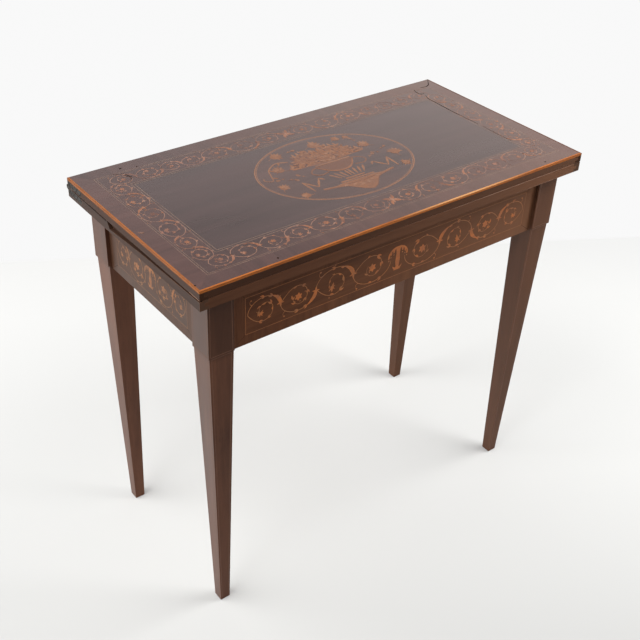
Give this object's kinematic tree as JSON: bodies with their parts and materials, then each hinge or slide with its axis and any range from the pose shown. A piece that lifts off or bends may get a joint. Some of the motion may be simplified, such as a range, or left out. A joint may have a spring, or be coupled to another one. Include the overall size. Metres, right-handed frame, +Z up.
{
  "type": "games table",
  "caption": "Rectangular games table: fold-over top inlaid with scroll marquetry, turning on a deep frame with a storage well, on square tapered legs.",
  "frame": {"origin": "on the floor under the middle of the closed top", "axes": "+Z up, +X to the right along the long side seen from the front, front faces -Y, hinge edge at +Y"},
  "size_m": [0.84, 0.433, 0.7505],
  "materials": {
    "leg_veneer": "dark reddish-brown veneer, worn French polish",
    "rail_veneer": "dark reddish-brown veneer with pale marquetry, worn polish",
    "leaf_wood": "dark stained solid wood, worn polish",
    "field_veneer": "dark straight-grained veneer, satin polish",
    "border_veneer": "reddish cross-banded veneer, satin polish",
    "stringing": "orange-toned boxwood stringing, polished",
    "secondary_wood": "plain unpolished softwood",
    "baize": "green wool baize",
    "hinge_metal": "dark tarnished brass",
    "brass": "plain brass",
    "iron": "dark oxidised iron"
  },
  "bodies": {
    "frame": {"leg_front_left": "leg_veneer", "leg_front_right": "leg_veneer", "leg_back_left": "leg_veneer", "leg_back_right": "leg_veneer", "front_rail": "rail_veneer", "back_rail": "rail_veneer", "left_rail": "rail_veneer", "right_rail": "rail_veneer", "pivot_board": "secondary_wood", "pivot_board_screws": "iron", "pivot_bush": "brass", "well_partition": "secondary_wood", "well_ledges": "secondary_wood", "well_bottom": "secondary_wood"},
    "lower_leaf": {"lower_leaf_panel": "leaf_wood", "lower_leaf_left_cleat": "leaf_wood", "lower_leaf_right_cleat": "leaf_wood", "lower_baize": "baize", "pivot_plate": "iron", "pivot_plate_screws": "iron", "pivot_bolt": "iron", "pivot_washer": "iron", "pivot_nut": "iron", "stop_peg": "secondary_wood", "lower_hinge_left": "hinge_metal", "lower_hinge_right": "hinge_metal", "lower_hinge_screws": "iron", "hinge_pin_left": "iron", "hinge_pin_right": "iron"},
    "upper_leaf": {"upper_leaf_panel": "leaf_wood", "upper_leaf_left_cleat": "leaf_wood", "upper_leaf_right_cleat": "leaf_wood", "upper_baize": "baize", "field_veneer": "field_veneer", "front_border_veneer": "border_veneer", "back_border_veneer": "border_veneer", "left_border_veneer": "border_veneer", "right_border_veneer": "border_veneer", "front_stringing": "stringing", "left_stringing": "stringing", "right_stringing": "stringing", "upper_hinge_left": "hinge_metal", "upper_hinge_right": "hinge_metal", "upper_hinge_screws": "iron"}
  },
  "joints": [
    {"name": "top_swivel", "type": "hinge", "parent": "frame", "child": "lower_leaf", "pos_m": [0.107, 0.107, 0.704], "axis": [0, 0, 1], "range_deg": [0, 90]},
    {"name": "leaf_fold", "type": "hinge", "parent": "lower_leaf", "child": "upper_leaf", "pos_m": [0, 0.214, 0.733], "axis": [-1, 0, 0], "range_deg": [0, 180]}
  ]
}
